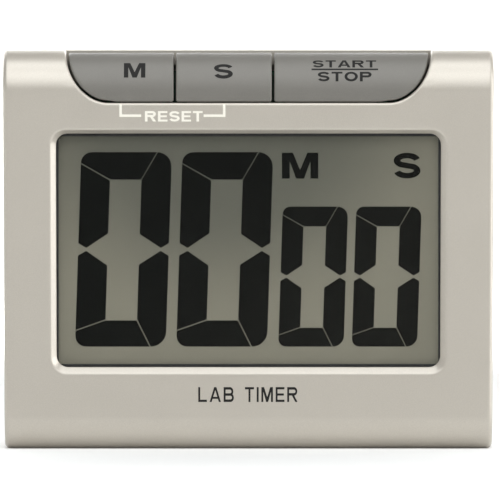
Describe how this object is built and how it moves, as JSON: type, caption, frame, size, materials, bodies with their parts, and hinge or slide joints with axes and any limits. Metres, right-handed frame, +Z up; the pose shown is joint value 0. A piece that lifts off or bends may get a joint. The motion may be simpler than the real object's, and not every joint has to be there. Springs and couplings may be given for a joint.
{
  "type": "lab countdown timer",
  "caption": "Free-standing countdown timer with a large window display, hinged keys over the top edge, a fold-out stand and a battery door.",
  "frame": {"origin": "centre of the base on which the timer stands, halfway between its sides and between its face and its back", "axes": "+Z up, the display faces -Y, +X to the reader's right"},
  "size_m": [0.096, 0.025, 0.078],
  "materials": {
    "silver_case": "fine silver metallic paint over plastic",
    "clear_window": "clear acrylic",
    "black_plastic": "matt black",
    "lcd_film": "grey-green reflective display film",
    "lcd_glass": "thin glass",
    "white_plastic": "moulded white",
    "elastomer": "pink silicone with dark core",
    "board": "green solder mask",
    "bright_steel": "nickel plated",
    "blue_sleeve": "shrink sleeve",
    "brown_plastic": "moulded",
    "grey_key": "satin grey paint over plastic",
    "brass": "thin brass disc",
    "cell_jacket": "printed sleeve",
    "red_wire": "PVC insulation",
    "black_wire": "PVC insulation",
    "magnet": "sintered ferrite"
  },
  "bodies": {
    "case": {"front_case": "silver_case", "back_case": "silver_case", "window_lens": "clear_window", "lcd_gasket": "black_plastic", "front_polariser": "lcd_film", "front_glass": "lcd_glass", "rear_glass": "lcd_glass", "lcd_reflector": "lcd_film", "lcd_holder": "white_plastic", "zebra_strips": "elastomer", "circuit_board": "board", "chip_blob": "black_plastic", "crystal": "bright_steel", "capacitors": "blue_sleeve", "switch_m": "black_plastic", "switch_s": "black_plastic", "switch_start_stop": "black_plastic", "buzzer": "brass", "battery": "cell_jacket", "contact_spring": "bright_steel", "contact_plate": "bright_steel", "wire_red": "red_wire", "wire_black": "black_wire", "buzzer_wires": "red_wire", "magnets": "magnet", "case_screws": "bright_steel", "board_screws": "bright_steel"},
    "key_m": {"key_m": "grey_key"},
    "key_s": {"key_s": "grey_key"},
    "key_start_stop": {"key_start_stop": "grey_key"},
    "plunger_m": {"plunger_m": "brown_plastic"},
    "plunger_s": {"plunger_s": "brown_plastic"},
    "plunger_start_stop": {"plunger_start_stop": "brown_plastic"},
    "stand": {"stand": "silver_case"},
    "battery_door": {"battery_door": "silver_case"}
  },
  "joints": [
    {"name": "key_m_press", "type": "hinge", "parent": "case", "child": "key_m", "pos_m": [0, -0.0085, 0.066], "axis": [-1, 0, 0], "range_deg": [0, 2.9], "stiffness_Nm_per_rad": 0.3},
    {"name": "key_s_press", "type": "hinge", "parent": "case", "child": "key_s", "pos_m": [0, -0.0085, 0.066], "axis": [-1, 0, 0], "range_deg": [0, 2.9], "stiffness_Nm_per_rad": 0.3},
    {"name": "key_start_stop_press", "type": "hinge", "parent": "case", "child": "key_start_stop", "pos_m": [0, -0.0085, 0.066], "axis": [-1, 0, 0], "range_deg": [0, 2.9], "stiffness_Nm_per_rad": 0.3},
    {"name": "plunger_m_slide", "type": "slide", "parent": "case", "child": "plunger_m", "axis": [0, 1, 0], "range_m": [0, 0.00025]},
    {"name": "plunger_s_slide", "type": "slide", "parent": "case", "child": "plunger_s", "axis": [0, 1, 0], "range_m": [0, 0.00025]},
    {"name": "plunger_start_stop_slide", "type": "slide", "parent": "case", "child": "plunger_start_stop", "axis": [0, 1, 0], "range_m": [0, 0.00025]},
    {"name": "stand_fold", "type": "hinge", "parent": "case", "child": "stand", "pos_m": [0, 0.0113, 0.047], "axis": [1, 0, 0], "range_deg": [0, 48]},
    {"name": "battery_door_swing", "type": "hinge", "parent": "case", "child": "battery_door", "pos_m": [0, 0.0116, 0.0543], "axis": [-1, 0, 0], "range_deg": [0, 80]}
  ],
  "couplings": [
    {"joint": "plunger_m_slide", "follows": "key_m_press", "m_per_rad": 0.0048},
    {"joint": "plunger_s_slide", "follows": "key_s_press", "m_per_rad": 0.0048},
    {"joint": "plunger_start_stop_slide", "follows": "key_start_stop_press", "m_per_rad": 0.0048}
  ]
}
